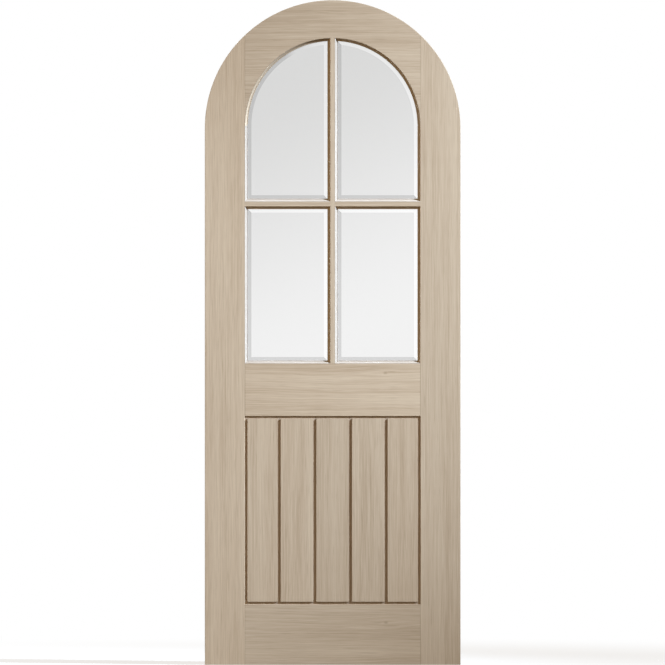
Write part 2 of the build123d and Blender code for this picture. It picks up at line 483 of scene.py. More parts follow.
def add_node(tree: Tree, kind: str, inputs: dict[str, object] | tuple = (),
             **settings: object) -> Node:
    """Add one node with its settings and links.

    Args:
        tree: The node tree.
        kind: The node's type.
        inputs: A plain value or the output socket to link, by the socket's name, or in a tuple
            for the first sockets in their order.
        **settings: The node's own properties.

    Returns:
        The new node.
    """
    node = tree.nodes.new(kind)
    for key, value in settings.items():
        setattr(node, key, value)
    if isinstance(inputs, tuple):
        inputs = dict(enumerate(inputs))
    for key, value in inputs.items():
        if isinstance(value, Socket):
            tree.links.new(value, node.inputs[key])
        else:
            node.inputs[key].default_value = value
    return node


def new_material(name: str) -> tuple[Material, Tree, Node]:
    """An empty node material with its principled shader.

    Args:
        name: Name of the material.

    Returns:
        The material, its tree and the shader node.
    """
    material = bpy.data.materials.new(name)
    material.use_nodes = True
    tree = material.node_tree
    tree.nodes.clear()
    shader = add_node(tree, "ShaderNodeBsdfPrincipled")
    add_node(tree, "ShaderNodeOutputMaterial", {"Surface": shader.outputs["BSDF"]})
    return material, tree, shader


def place_on_leaf(tree: Tree) -> dict[str, Socket]:
    """Where each point of a surface is on the leaf, in metres.

    Args:
        tree: A material's node tree.

    Returns:
        A value socket for each of X, Y and Z.
    """
    place = add_node(tree, "ShaderNodeTexCoord").outputs["Object"]
    part = add_node(tree, "ShaderNodeSeparateXYZ", (place,)).outputs
    return {axis: part[axis] for axis in "XYZ"}


@dataclass(frozen=True)
class PinKnot:
    """A knot a few millimetres across, in a rail, with the grain parting round it.

    The core's colour starts to fade and has gone at core_fade, counted in core_mm, and the grain
    is pushed aside out to parting_end, counted in reach_mm. Both are drawn out along the grain.
    """

    x: float
    z: float
    core_mm: float = 5.0
    core_stretch: float = 1.5
    core_fade: tuple[float, float] = (0.2, 1.2)
    darkness: float = 0.4
    reach_mm: float = 16.0
    stretch: float = 4.0
    parting: float = 0.7
    parting_end: float = 2.0


@dataclass(frozen=True)
class Fibre:
    """One kind of mark in the wood: its size across and along the grain, and its fineness."""

    width_mm: float
    length_mm: float
    octaves: float


@dataclass(frozen=True)
class OakFinish:
    """Pale European oak, planed, sanded and sprayed with a matt water-based lacquer.

    The eye sees straight fine streaks along the grain, some of them paler, broad soft bands of
    early and late wood a few centimetres apart, dark open pores, and hardly any shine. Where a
    rail's shoulder meets a stile, its end grain shows as a thin dark line. The channels have
    painted shade: the wood is darkened from their lips down.

    The growth rings of 3 mm and the bands that groups of them make have their real width. Real
    pores and fibres are about 0.3 mm wide and a few millimetres long. That is far too fine for a
    pixel of 3 mm, so threads and pores are drawn as coarse as they need to show, and the ray
    flecks, a millimetre wide in real oak, are drawn at twice their width.
    """

    name: str
    grain: Grain
    seed: float
    arch_centre: float
    tone: float = 1.0
    wander_mm: float = 7.0
    shoulder: float = 0.0
    channel_level: float = 0.0
    knot: PinKnot | None = None
    pale: str = "d3c2a9"
    body: str = "c6b39a"
    deep: str = "b09b81"
    pore: str = "8d785e"
    colour_marks: tuple[float, float, float] = (0.3, 0.5, 0.68)
    drift: Fibre = Fibre(120.0, 420.0, 1.0)
    bands: Fibre = Fibre(26.0, 1400.0, 1.0)
    streaks: Fibre = Fibre(3.4, 320.0, 3.0)
    streak_share: float = 0.55
    threads: Fibre = Fibre(1.6, 70.0, 2.0)
    thread_share: float = 0.3
    flecks: Fibre = Fibre(2.4, 190.0, 1.0)
    fleck_edge: tuple[float, float] = (0.56, 0.74)
    fleck_share: float = 0.75
    pores: Fibre = Fibre(1.1, 55.0, 0.0)
    pore_edge: tuple[float, float] = (0.64, 0.78)
    pore_share: float = 0.24
    noise_roughness: float = 0.55
    relief_mm: float = 0.25
    relief_share: float = 0.25
    thread_range: tuple[float, float] = (0.3, 0.7)
    roughness: tuple[float, float] = (0.5, 0.62)
    gloss: float = 0.25
    cut_step_mm: tuple[float, float, float] = (137.0, 61.0, 911.0)
    line: str = "7a6549"
    shoulder_line_mm: float = 2.2
    shoulder_darkness: float = 0.5
    channel_lip_mm: float = 0.6
    # Painted shade: the wood in the channels is multiplied by this
    channel_painted_shade: tuple[float, float, float] = (0.75, 0.73, 0.75)

    def along_the_grain(self, tree: Tree) -> Socket:
        """Coordinates in millimetres: across the grain, through the piece, along the grain.

        Args:
            tree: The material's node tree.

        Returns:
            A vector socket.
        """
        part = place_on_leaf(tree)
        across, along = part["X"], part["Z"]
        if self.grain is Grain.LEVEL:
            across, along = part["Z"], part["X"]
        if self.grain is Grain.ROUND_THE_ARCH:
            rise = add_node(tree, "ShaderNodeMath", (part["Z"], self.arch_centre),
                            operation="SUBTRACT").outputs[0]
            flat = add_node(tree, "ShaderNodeCombineXYZ", {"X": part["X"], "Y": rise}).outputs[0]
            across = add_node(tree, "ShaderNodeVectorMath", (flat,),
                              operation="LENGTH").outputs["Value"]
            turn = add_node(tree, "ShaderNodeMath", (part["X"], rise),
                            operation="ARCTAN2").outputs[0]
            along = add_node(tree, "ShaderNodeMath", (turn, across),
                             operation="MULTIPLY").outputs[0]
        joined = add_node(tree, "ShaderNodeCombineXYZ",
                          {"X": across, "Y": part["Y"], "Z": along}).outputs[0]
        in_mm = add_node(tree, "ShaderNodeVectorMath", {"Vector": joined, "Scale": 1 / MM},
                         operation="SCALE").outputs[0]
        return add_node(tree, "ShaderNodeVectorMath", (in_mm, self.cut_from()),
                        operation="ADD").outputs[0]

    def cut_from(self) -> tuple[float, ...]:
        """Where in the tree the piece was cut, in millimetres, so that no two pieces match."""
        return tuple(step * self.seed for step in self.cut_step_mm)

    def part_round_knot(self, tree: Tree, place: Socket) -> tuple[Socket, Socket]:
        """Spread the grain of a level piece to both sides of its knot.

        Args:
            tree: The material's node tree.
            place: Grain coordinates in millimetres.

        Returns:
            The coordinates with the grain parted, and how dark the knot makes each place.
        """
        knot, cut = self.knot, self.cut_from()
        centre = (knot.z / MM + cut[0], 0.0, knot.x / MM + cut[2])
        away = add_node(tree, "ShaderNodeVectorMath", (place, centre),
                        operation="SUBTRACT").outputs[0]
        spread, core = (add_node(tree, "ShaderNodeVectorMath",
                                 (away, (1 / size, 0.0, 1 / (size * length))),
                                 operation="MULTIPLY").outputs[0]
                        for size, length in ((knot.reach_mm, knot.stretch),
                                             (knot.core_mm, knot.core_stretch)))
        far, near = (add_node(tree, "ShaderNodeVectorMath", (vector,),
                              operation="LENGTH").outputs["Value"] for vector in (spread, core))
        share = add_node(tree, "ShaderNodeMapRange",
                         (far, 0.0, knot.parting_end, knot.parting, 0.0),
                         interpolation_type="SMOOTHSTEP")
        back = add_node(tree, "ShaderNodeVectorMath", (away, (-1.0, 0.0, 0.0)),
                        operation="MULTIPLY").outputs[0]
        push = add_node(tree, "ShaderNodeVectorMath", {"Vector": back, "Scale": share.outputs[0]},
                        operation="SCALE").outputs[0]
        parted = add_node(tree, "ShaderNodeVectorMath", (place, push), operation="ADD")
        shade = add_node(tree, "ShaderNodeMapRange", (near, *knot.core_fade, knot.darkness, 0.0),
                         interpolation_type="SMOOTHSTEP")
        return parted.outputs[0], shade.outputs[0]

    def shoulder_line(self, tree: Tree) -> Socket:
        """How dark the end grain is at a rail's two shoulders.

        Args:
            tree: The material's node tree.

        Returns:
            A value socket, nothing away from the shoulders.
        """
        reach = add_node(tree, "ShaderNodeMath", (place_on_leaf(tree)["X"],),
                         operation="ABSOLUTE").outputs[0]
        start = self.shoulder - self.shoulder_line_mm * MM
        return add_node(tree, "ShaderNodeMapRange",
                        (reach, start, self.shoulder, 0.0, self.shoulder_darkness)).outputs[0]

    def paint_channel_shade(self, tree: Tree, colour: Socket) -> Socket:
        """Paint shade into the channels: darken the wood from their lips down.

        Args:
            tree: The material's node tree.
            colour: The wood's colour.

        Returns:
            The new colour, which is the old one on the faces.
        """
        level = add_node(tree, "ShaderNodeMath", (place_on_leaf(tree)["Y"],),
                         operation="ABSOLUTE").outputs[0]
        lip = self.channel_level - self.channel_lip_mm * MM
        below = add_node(tree, "ShaderNodeMapRange",
                         (level, lip, self.channel_level, 1.0, 0.0)).outputs[0]
        deeper = add_node(tree, "ShaderNodeVectorMath", (colour, self.channel_painted_shade),
                          operation="MULTIPLY").outputs[0]
        return add_node(tree, "ShaderNodeMix", {"Factor": below, "A": colour, "B": deeper},
                        data_type="RGBA").outputs["Result"]

    def draw(self, tree: Tree, place: Socket, fibre: Fibre) -> Socket:
        """Draw one kind of mark, as noise pulled out along the grain.

        Args:
            tree: The material's node tree.
            place: Grain coordinates in millimetres.
            fibre: The kind of mark.

        Returns:
            A value socket, around a half.
        """
        width, length = 1 / fibre.width_mm, 1 / fibre.length_mm
        stretched = add_node(tree, "ShaderNodeVectorMath", (place, (width, width, length)),
                             operation="MULTIPLY").outputs[0]
        return add_node(tree, "ShaderNodeTexNoise",
                        {"Vector": stretched, "Scale": 1.0, "Detail": fibre.octaves,
                         "Roughness": self.noise_roughness}).outputs["Fac"]

    def let_wander(self, tree: Tree, straight: Socket) -> Socket:
        """Let the grain drift a few millimetres to either side on its way.

        Args:
            tree: The material's node tree.
            straight: Grain coordinates in millimetres.

        Returns:
            The coordinates with the drift.
        """
        drift = self.draw(tree, straight, self.drift)
        push = add_node(tree, "ShaderNodeMapRange",
                        (drift, 0.0, 1.0, -self.wander_mm, self.wander_mm)).outputs[0]
        shift = add_node(tree, "ShaderNodeCombineXYZ", {"X": push}).outputs[0]
        return add_node(tree, "ShaderNodeVectorMath", (straight, shift),
                        operation="ADD").outputs[0]

    def figure(self, tree: Tree, place: Socket, threads: Socket) -> Socket:
        """The wood's own colour, with its bands, streaks and threads.

        Args:
            tree: The material's node tree.
            place: Grain coordinates in millimetres.
            threads: The threads, already drawn.

        Returns:
            A colour socket.
        """
        mix = self.draw(tree, place, self.bands)
        for share, layer in ((self.streak_share, self.draw(tree, place, self.streaks)),
                             (self.thread_share, threads)):
            mix = add_node(tree, "ShaderNodeMix",
                           {"Factor": share, "A": mix, "B": layer}).outputs["Result"]
        ramp = add_node(tree, "ShaderNodeValToRGB", (mix,))
        colours = (self.deep, self.body, self.pale)
        stops = ramp.color_ramp.elements
        while len(stops) < len(colours):
            stops.new(self.colour_marks[1])
        for stop, position, colour in zip(stops, self.colour_marks, colours):
            stop.position = position
            stop.color = linear(colour, self.tone)
        return ramp.outputs["Color"]

    def build(self) -> Material:
        """Make the material.

        Returns:
            The lacquered oak.
        """
        material, tree, shader = new_material(self.name)
        straight = self.along_the_grain(tree)
        stains = []
        if self.knot:
            straight, knot_shade = self.part_round_knot(tree, straight)
            stains.append((knot_shade, self.pore))
        if self.shoulder:
            stains.append((self.shoulder_line(tree), self.line))
        place = self.let_wander(tree, straight)
        threads = self.draw(tree, place, self.threads)
        colour = self.figure(tree, place, threads)
        fleck, open_pore = (
            add_node(tree, "ShaderNodeMapRange",
                     (self.draw(tree, place, fibre), *edge, 0.0, share)).outputs[0]
            for fibre, edge, share in ((self.flecks, self.fleck_edge, self.fleck_share),
                                       (self.pores, self.pore_edge, self.pore_share)))
        for share, layer in [(fleck, self.pale), (open_pore, self.pore), *stains]:
            colour = add_node(tree, "ShaderNodeMix",
                              {"Factor": share, "A": colour, "B": linear(layer, self.tone)},
                              data_type="RGBA").outputs["Result"]
        # Painted shade in the channels, below the face
        if self.channel_level:
            colour = self.paint_channel_shade(tree, colour)
        relief = add_node(tree, "ShaderNodeMath", (threads, open_pore),
                          operation="SUBTRACT").outputs[0]
        bump = add_node(tree, "ShaderNodeBump", {"Height": relief, "Strength": self.relief_share,
                                                 "Distance": self.relief_mm * MM})
        rough = add_node(tree, "ShaderNodeMapRange",
                         (threads, *self.thread_range, *self.roughness)).outputs[0]
        for key, value in (("Base Color", colour), ("Roughness", rough),
                           ("Normal", bump.outputs["Normal"])):
            tree.links.new(value, shader.inputs[key])
        shader.inputs["Specular IOR Level"].default_value = self.gloss
        return material


@dataclass(frozen=True)
class PlainFinish:
    """One material with a slight mottle of two close shades, for what is mostly out of sight."""

    name: str
    colour: str
    shade: str
    mottle_mm: float
    roughness: float
    metallic: float = 0.0
    octaves: float = 3.0
    relief_mm: float = 0.1
    relief_share: float = 0.2

    def build(self) -> Material:
        """Make the material.

        Returns:
            The finish.
        """
        material, tree, shader = new_material(self.name)
        place = add_node(tree, "ShaderNodeTexCoord").outputs["Object"]
        noise = add_node(tree, "ShaderNodeTexNoise",
                         {"Vector": place, "Scale": 1 / (self.mottle_mm * MM),
                          "Detail": self.octaves}).outputs["Fac"]
        colour = add_node(tree, "ShaderNodeMix",
                          {"Factor": noise, "A": linear(self.shade), "B": linear(self.colour)},
                          data_type="RGBA").outputs["Result"]
        bump = add_node(tree, "ShaderNodeBump", {"Height": noise, "Strength": self.relief_share,
                                                 "Distance": self.relief_mm * MM})
        tree.links.new(colour, shader.inputs["Base Color"])
        tree.links.new(bump.outputs["Normal"], shader.inputs["Normal"])
        shader.inputs["Roughness"].default_value = self.roughness
        shader.inputs["Metallic"].default_value = self.metallic
        return material


@dataclass(frozen=True)
class GlassFinish:
    """Clear soda-lime float glass with a polished bevel, toughened.

    It is near-colourless, with painted shade: greyer towards the top of the leaf, where less light
    stands behind it. Its bevels have painted light and shade by the way they lean: the ones at the
    left and the bottom of a pane are painted grey, and the ones at the right and the top painted
    white. The tint sits in the front of the pane, and behind clear_from, a depth inside it, the
    glass is clear.

    In the middle of the leaf the grey starts at the height low and is full at high, and each
    metre to the right adds grey_slope to the height that counts. A face's lean is how far its
    normal points along bright_way. It is nothing on the flats, and between the two ranges.
    """

    name: str
    clear_from: float
    pale: str = "e6e6e6"
    grey: str = "b8b8b7"
    low: float = 0.9
    high: float = 1.85
    grey_slope: float = -0.45
    bright_way: tuple[float, float, float] = (1.0, 0.0, 0.45)
    # Painted shade and painted highlight of the bevels, as factors on the tint
    bevel_painted_shade: float = 0.56
    dim_lean: tuple[float, float] = (-0.022, -0.005)
    bright_bevel: float = 1.4
    bright_lean: tuple[float, float] = (0.005, 0.045)
    ior: float = 1.52

    def painted_bevel_light(self, tree: Tree) -> Socket:
        """The painted shade or highlight of a face for the way it leans, as a factor, one on the
        flats.

        Args:
            tree: The material's node tree.

        Returns:
            A value socket.
        """
        normal = add_node(tree, "ShaderNodeTexCoord").outputs["Normal"]
        lean = add_node(tree, "ShaderNodeVectorMath", (normal, self.bright_way),
                        operation="DOT_PRODUCT").outputs["Value"]
        dim, bright = (
            add_node(tree, "ShaderNodeMapRange", (lean, *leans, *tones)).outputs[0]
            for leans, tones in ((self.dim_lean, (self.bevel_painted_shade, 1.0)),
                                 (self.bright_lean, (1.0, self.bright_bevel))))
        return add_node(tree, "ShaderNodeMath", (dim, bright), operation="MULTIPLY").outputs[0]

    def build(self) -> Material:
        """Make the material.

        Returns:
            The glass.
        """
        material, tree, shader = new_material(self.name)
        part = place_on_leaf(tree)
        # Painted shade: the tint greys towards the top and the left of the leaf
        slope = add_node(tree, "ShaderNodeMath", (part["X"], self.grey_slope, part["Z"]),
                         operation="MULTIPLY_ADD").outputs[0]
        share = add_node(tree, "ShaderNodeMapRange", (slope, self.low, self.high),
                         interpolation_type="SMOOTHSTEP").outputs[0]
        colour = add_node(tree, "ShaderNodeMix", {"Factor": share, "A": linear(self.pale),
                                                  "B": linear(self.grey)},
                          data_type="RGBA").outputs["Result"]
        # Painted light and shade on the bevels, by the way each face leans
        toned = add_node(tree, "ShaderNodeVectorMath",
                         {"Vector": colour, "Scale": self.painted_bevel_light(tree)},
                         operation="SCALE").outputs[0]
        behind = add_node(tree, "ShaderNodeMath", (part["Y"], self.clear_from),
                          operation="GREATER_THAN").outputs[0]
        clear = add_node(tree, "ShaderNodeMix", {"Factor": behind, "A": toned,
                                                 "B": linear(WHITE)},
                         data_type="RGBA").outputs["Result"]
        tint = add_node(tree, "ShaderNodeVectorMath", (clear, linear(WHITE)[:3]),
                        operation="MINIMUM").outputs[0]
        tree.links.new(tint, shader.inputs["Base Color"])
        shader.inputs["Roughness"].default_value = 0.0
        shader.inputs["IOR"].default_value = self.ior
        shader.inputs["Transmission Weight"].default_value = 1.0
        return material


# Sub-assemblies


@dataclass
class LeafFrame:
    """The stiles and rails, sawn from one arched outline as a template.

    The arris is the rounding of the leaf's outer edges, joint_ease the sanding of the sawn ones,
    and splay the small mitred chamfer of the opening that the panel fills. The mortices are a
    little wider and longer than their tenons.
    """

    sizes: LeafSizes
    arris: float = 1.0 * MM
    arris_segments: int = 3
    joint_ease: float = 0.15 * MM
    splay: float = 0.5 * MM
    arc_steps: int = 160
    mortice_room: tuple[float, float, float] = (1.0 * MM, 0.0, 0.5 * MM)

    def leaf_solid(self) -> Piece:
        """The whole leaf in one solid, with its outer edges rounded over.

        Returns:
            The template that every member is cut from.
        """
        s = self.sizes
        bpy.ops.mesh.primitive_circle_add(vertices=self.arc_steps, radius=s.half_width,
                                          location=(0, -s.half_thickness, s.springing),
                                          rotation=(QUARTER_TURN, 0, 0))
        leaf = bpy.context.object
        leaf.name = "leaf_template"
        settle(leaf)
        with editing(leaf, "VERT"):
            pick(leaf, "VERT", lambda v: v.co.z < s.springing - SAME_PLACE)
            bpy.ops.mesh.delete(type="VERT")
            pick(leaf, "VERT", lambda v: v.co.z < s.springing + SAME_PLACE)
            bpy.ops.mesh.extrude_vertices_move(
                TRANSFORM_OT_translate={"value": (0, 0, -s.springing)})
            bpy.ops.mesh.select_all(action="SELECT")
            bpy.ops.mesh.edge_face_add()
        extrude(leaf, Vector((0, 2 * s.half_thickness, 0)))
        ease(leaf, lambda e: abs(e.verts[0].co.y - e.verts[1].co.y) < SAME_PLACE, self.arris,
             self.arris_segments)
        return leaf

    def splay_cutter(self, face: Face) -> Piece:
        """A wedge-sided block that planes the mitred chamfer round the panel.

        Args:
            face: Which face of the leaf it planes.

        Returns:
            The cutter.
        """
        s = self.sizes
        inner, outer = self.splay, self.splay / 2
        depth = face.value * (s.half_thickness - self.splay - inner)
        top = face.value * (s.half_thickness + outer)
        low = Vector((-s.opening_half + inner, min(depth, top), s.panel_low + inner))
        high = Vector((s.opening_half - inner, max(depth, top), s.mid_low - inner))
        cutter = block("splay_cutter", low, high)
        spread = 2 * (self.splay + inner + outer)
        wide, tall = high.x - low.x, high.z - low.z
        with editing(cutter, "FACE"):
            pick(cutter, "FACE", lambda f: abs(f.calc_center_median().y - top) < SAME_PLACE)
            bpy.ops.transform.resize(value=((wide + spread) / wide, 1, (tall + spread) / tall),
                                     center_override=(0, top, (low.z + high.z) / 2))
        return cutter

    def member(self, leaf: Piece, name: str, low: Vector, high: Vector) -> Piece:
        """Saw one member out of the template.

        Args:
            leaf: The template.
            name: The member's node.
            low: Lowest corner of its outline.
            high: Highest corner of its outline.

        Returns:
            The member, square at its sawn edges.
        """
        piece = copy_of(leaf, f"{name}_oak")
        s = self.sizes
        cuts = ((low, (-1, 0, 0), low.x > -s.half_width), (high, (1, 0, 0), high.x < s.half_width),
                (low, (0, 0, -1), low.z > 0), (high, (0, 0, 1), high.z < s.height))
        for point, normal, needed in cuts:
            if needed:
                saw(piece, point, Vector(normal))
        return piece

    def pockets(self, name: str) -> list[Piece]:
        """Cutters for the mortices and grooves that open into one member.

        Args:
            name: The member's node.

        Returns:
            The cutters.
        """
        s = self.sizes
        room = Vector(self.mortice_room)
        reach = s.tongue + OVERRUN
        found = []
        for rail in ("head_rail", "mid_rail", "bottom_rail"):
            for side in ("left", "right"):
                if name in (rail, f"{side}_stile"):
                    low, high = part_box(f"{rail}_slip_tenon_{side}")
                    found.append(block("mortice", low - room, high + room))
        if name.endswith("stile"):
            side = s.opening_half + reach
            found += [block("plough", Vector((-side, -s.tongue_half, s.panel_low)),
                            Vector((side, s.tongue_half, s.mid_low)))]
            low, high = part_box("cross_bar")
            found += [block("mortice", Vector((low.x - OVERRUN, -s.tenon_half, low.z)),
                            Vector((high.x + OVERRUN, s.tenon_half, high.z)))]
        if name in ("mid_rail", "bottom_rail"):
            found += [block("plough", Vector((-s.half_width, -s.tongue_half, s.panel_low - reach)),
                            Vector((s.half_width, s.tongue_half, s.mid_low + reach)))]
        if name in ("mid_rail", "head_rail"):
            low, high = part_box("upright_bar")
            found += [block("mortice", Vector((low.x, -s.tenon_half, low.z - OVERRUN)),
                            Vector((high.x, s.tenon_half, high.z + OVERRUN)))]
        return found

    def build(self, finishes: dict[str, Material]) -> None:
        """Make and dress the five members.

        Args:
            finishes: Oak for each member, by node.
        """
        s = self.sizes
        leaf = self.leaf_solid()
        back = s.half_thickness
        spans = {
            "left_stile": (-s.half_width, -s.opening_half, 0, s.height),
            "right_stile": (s.opening_half, s.half_width, 0, s.height),
            "head_rail": (-s.opening_half, s.opening_half, s.horn_level, s.height),
            "mid_rail": (-s.opening_half, s.opening_half, s.mid_low, s.mid_high),
            "bottom_rail": (-s.opening_half, s.opening_half, 0, s.panel_low),
        }
        for name, (x0, x1, z0, z1) in spans.items():
            piece = self.member(leaf, name, Vector((x0, -back, z0)), Vector((x1, back, z1)))
            cutters = self.pockets(name)
            if name == "head_rail":
                bpy.ops.mesh.primitive_cylinder_add(
                    vertices=2 * self.arc_steps, radius=s.opening_half, depth=4 * back,
                    location=(0, 0, s.arch_springing), rotation=(QUARTER_TURN, 0, 0))
                arch = bpy.context.object
                settle(arch)
                combine(piece, [arch], "DIFFERENCE")
            else:
                cutters += [self.splay_cutter(face) for face in Face]
            soften(piece, self.joint_ease)
            combine(piece, cutters, "DIFFERENCE")
            close_up(piece)
            fair(piece)
            slot = "oak_stile" if name.endswith("stile") else "oak_rail"
            hand_over(piece, finishes[name], slot, name)
        bpy.data.objects.remove(leaf)


@dataclass
class GlazingBars:
    """Two slim bars, halved over each other, with stub tenons at their ends."""

    sizes: LeafSizes
    edge: float = 0.3 * MM

    def bar(self, name: str, low: Vector, high: Vector, along: Vector, halving: Face) -> Piece:
        """One bar.

        Args:
            name: Its node.
            low: Lowest corner between its shoulders.
            high: Highest corner between its shoulders.
            along: Unit direction of the bar.
            halving: The face that the other bar runs through on.

        Returns:
            The bar.
        """
        s = self.sizes
        piece = block(f"{name}_oak", low, high)
        soften(piece, self.edge)
        tenon_low, tenon_high = low - along * s.tenon_reach, high + along * s.tenon_reach
        tenon_low.y, tenon_high.y = -s.tenon_half, s.tenon_half
        combine(piece, [block("tenon", tenon_low, tenon_high)], "UNION")
        cut_low = Vector((-s.bar_half, 0, s.cross_low))
        cut_high = Vector((s.bar_half, 0, s.cross_high))
        past = (Vector((1, 0, 1)) - along) * OVERRUN
        cut_low, cut_high = cut_low - past, cut_high + past
        if halving is Face.FRONT:
            cut_low.y = -s.half_thickness - OVERRUN
        else:
            cut_high.y = s.half_thickness + OVERRUN
        combine(piece, [block("halving", cut_low, cut_high)], "DIFFERENCE")
        close_up(piece)
        fair(piece)
        return piece

    def build(self, finishes: dict[str, Material]) -> None:
        """Make and dress both bars.

        Args:
            finishes: Oak for each bar, by node.
        """
        s = self.sizes
        back = s.half_thickness
        top = s.arch_height(s.bar_half)
        upright = self.bar("upright_bar", Vector((-s.bar_half, -back, s.mid_high)),
                           Vector((s.bar_half, back, top)), Vector((0, 0, 1)), Face.BACK)
        hand_over(upright, finishes["upright_bar"], "oak_bar", "upright_bar")
        cross = self.bar("cross_bar", Vector((-s.opening_half, -back, s.cross_low)),
                         Vector((s.opening_half, back, s.cross_high)), Vector((1, 0, 0)),
                         Face.FRONT)
        hand_over(cross, finishes["cross_bar"], "oak_bar", "cross_bar")


@dataclass(frozen=True)
class BeadRun:
    """One straight edge of a left light, and the corners its bead is mitred to."""

    name: str
    start: Vector
    end: Vector
    inner_start: Vector
    inner_end: Vector

    @property
    def along(self) -> Vector:
        """Unit direction of the edge."""
        return (self.end - self.start).normalized()

    @property
    def inward(self) -> Vector:
        """Unit direction from the edge into its light."""
        across = self.inner_start - self.start
        return (across - self.along * across.dot(self.along)).normalized()


@dataclass
class Beads:
    """The glazing beads: sticks of one moulding, mitred round each light on both faces.

    The moulding has a narrow flat on the leaf's face, a steep chamfer, and a ledge with a rounded
    nose. The back beads have slots for their brads, each a little wider than the brad: two for
    each straight edge, and three along the arch, at angles from the springing. A slot's cutter
    is slot_reach times as long as the bead is wide.
    """

    sizes: LeafSizes
    flat: float = 0.8 * MM
    chamfer_width: float = 5.4 * MM
    chamfer_depth: float = 6.0 * MM
    nose: float = 0.8 * MM
    nose_segments: int = 4
    edge: float = 0.2 * MM
    brad_inset: float = 60 * MM
    brad_depth: float = 10.5 * MM
    brad_angles_deg: tuple[float, ...] = (20.0, 48.0, 76.0)
    slot_length: float = 1.3 * MM
    slot_thickness: float = 1.1 * MM
    slot_reach: float = 2.2
    arc_steps: int = 80
    side_gap: float = 0.15 * MM

    def section(self, depth: float) -> Piece:
        """The moulding's section as a flat face: X into the light, Y in from the face.

        Args:
            depth: Depth of the bead, from the leaf's face to the glass.

        Returns:
            The face.
        """
        width = self.sizes.bead_width
        ledge = self.flat + self.chamfer_width
        bpy.ops.mesh.primitive_plane_add(size=1)
        piece = bpy.context.object
        piece.scale = (width, depth - self.chamfer_depth, 1)
        piece.location = (width / 2, (depth + self.chamfer_depth) / 2, 0)
        settle(piece)
        with editing(piece, "FACE"):
            bpy.ops.mesh.select_all(action="SELECT")
            bpy.ops.mesh.bisect(plane_co=(ledge, 0, 0), plane_no=(1, 0, 0))
            pick(piece, "EDGE", lambda e: all(v.co.x < ledge + SAME_PLACE and
                                              v.co.y < self.chamfer_depth + SAME_PLACE
                                              for v in e.verts))
            bpy.ops.mesh.extrude_region_move(
                TRANSFORM_OT_translate={"value": (0, -self.chamfer_depth, 0)})
            pick(piece, "VERT", lambda v: v.co.y < SAME_PLACE and v.co.x > SAME_PLACE)
            bpy.ops.transform.translate(value=(-self.chamfer_width, 0, 0))
            bpy.ops.mesh.select_mode(type="FACE")
            bpy.ops.mesh.select_all(action="SELECT")
            bpy.ops.mesh.dissolve_limited(angle_limit=FLAT_ANGLE)
            pick(piece, "VERT", lambda v: v.co.x > width - SAME_PLACE and
                 v.co.y < self.chamfer_depth + SAME_PLACE)
            bpy.ops.mesh.bevel(offset=self.nose, segments=self.nose_segments,
                               affect="VERTICES")
        return piece

    def place_section(self, piece: Piece, at: Vector, inward: Vector, face: Face) -> None:
        """Stand a section across an edge of the opening.

        Args:
            piece: The section.
            at: The edge's first point, at mid thickness.
            inward: Unit direction into the light.
            face: The face of the leaf that the bead is on.
        """
        inwards = Vector((0, -face.value, 0))
        start = at + Vector((0, face.value * self.sizes.half_thickness, 0))
        frame = Matrix((inward, inwards, inward.cross(inwards))).transposed().to_4x4()
        piece.matrix_world = Matrix.Translation(start) @ frame
        settle(piece)

    def mitre(self, piece: Piece, outer: Vector, inner: Vector, middle: Vector) -> None:
        """Cut one end of a bead along the line through two corners of its light.

        Args:
            piece: The bead.
            outer: Corner of the opening.
            inner: Corner of the bead frame's inside edge.
            middle: A point of the bead that stays.
        """
        line = inner - outer
        waste = Vector((line.z, 0, -line.x)).normalized()
        if waste.dot(middle - outer) > 0:
            waste.negate()
        saw(piece, outer, waste)

    def straight(self, run: BeadRun, face: Face, name: str) -> Piece:
        """A bead along a straight edge.

        Args:
            run: The edge.
            face: The face of the leaf.
            name: Name of the piece.

        Returns:
            The bead.
        """
        piece = self.section(self.sizes.bead_depth(face))
        piece.name = name
        self.place_section(piece, run.start, run.inward, face)
        extrude(piece, run.end - run.start)
        middle = (run.start + run.end) / 2
        for outer, inner in ((run.start, run.inner_start), (run.end, run.inner_end)):
            if abs((inner - outer).dot(run.along)) > SAME_PLACE:
                self.mitre(piece, outer, inner, middle)
        return piece

    def arched(self, bar_top: Vector, bar_top_in: Vector, face: Face, name: str) -> Piece:
        """The curved bead, spun round the centre of the arch.

        Args:
            bar_top: Where the bar meets the arch.
            bar_top_in: The inner corner of the beads there.
            face: The face of the leaf.
            name: Name of the piece.

        Returns:
            The bead.
        """
        s = self.sizes
        piece = self.section(s.bead_depth(face))
        piece.name = name
        foot = Vector((-s.opening_half + self.side_gap, 0, s.arch_springing))
        self.place_section(piece, foot, Vector((1, 0, 0)), face)
        with editing(piece, "FACE"):
            bpy.ops.mesh.select_all(action="SELECT")
            bpy.ops.mesh.spin(steps=self.arc_steps, angle=-QUARTER_TURN,
                              center=(0, 0, s.arch_springing), axis=(0, 1, 0))
        close_up(piece)
        self.mitre(piece, bar_top, bar_top_in, foot)
        return piece

